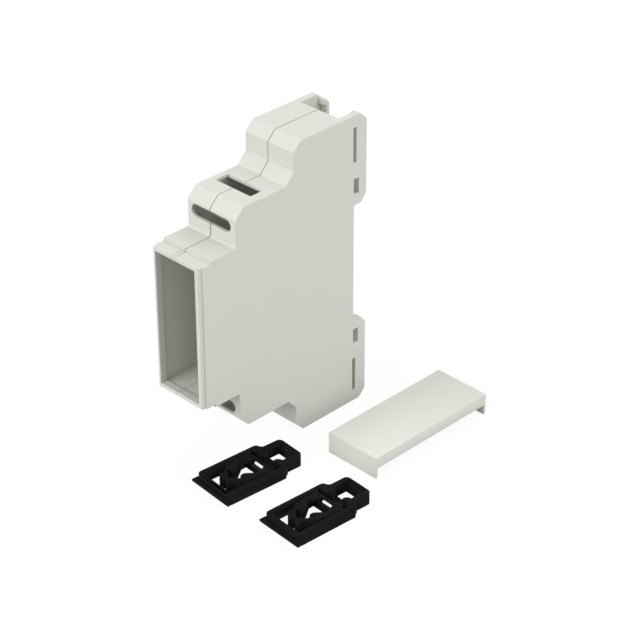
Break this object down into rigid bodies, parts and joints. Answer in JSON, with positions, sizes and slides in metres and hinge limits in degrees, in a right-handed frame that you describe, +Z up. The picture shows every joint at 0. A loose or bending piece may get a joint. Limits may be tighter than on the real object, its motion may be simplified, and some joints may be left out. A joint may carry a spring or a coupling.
{
  "type": "din rail enclosure",
  "caption": "Slim stepped housing of snap-together shells for a top-hat rail, with its front cover and sliding spring clips laid beside it.",
  "frame": {"origin": "middle of the rail seat: on the face that lies against the rail's front, at mid-height and mid-width of the housing", "axes": "+X across the module to the deeper shell, +Y from the front opening back towards the rail, +Z up across the rail"},
  "size_m": [0.0573, 0.083, 0.09],
  "materials": {
    "shell_grey": "light grey moulded ABS, fine satin texture",
    "cover_grey": "light grey moulded ABS, slightly smoother than the shells",
    "clip_black": "black moulded polyamide with a faint sheen"
  },
  "bodies": {
    "root": {"left_shell": "shell_grey", "right_shell": "shell_grey", "front_cover": "cover_grey", "rail_clip_upper": "clip_black", "rail_clip_lower": "clip_black"}
  },
  "joints": []
}
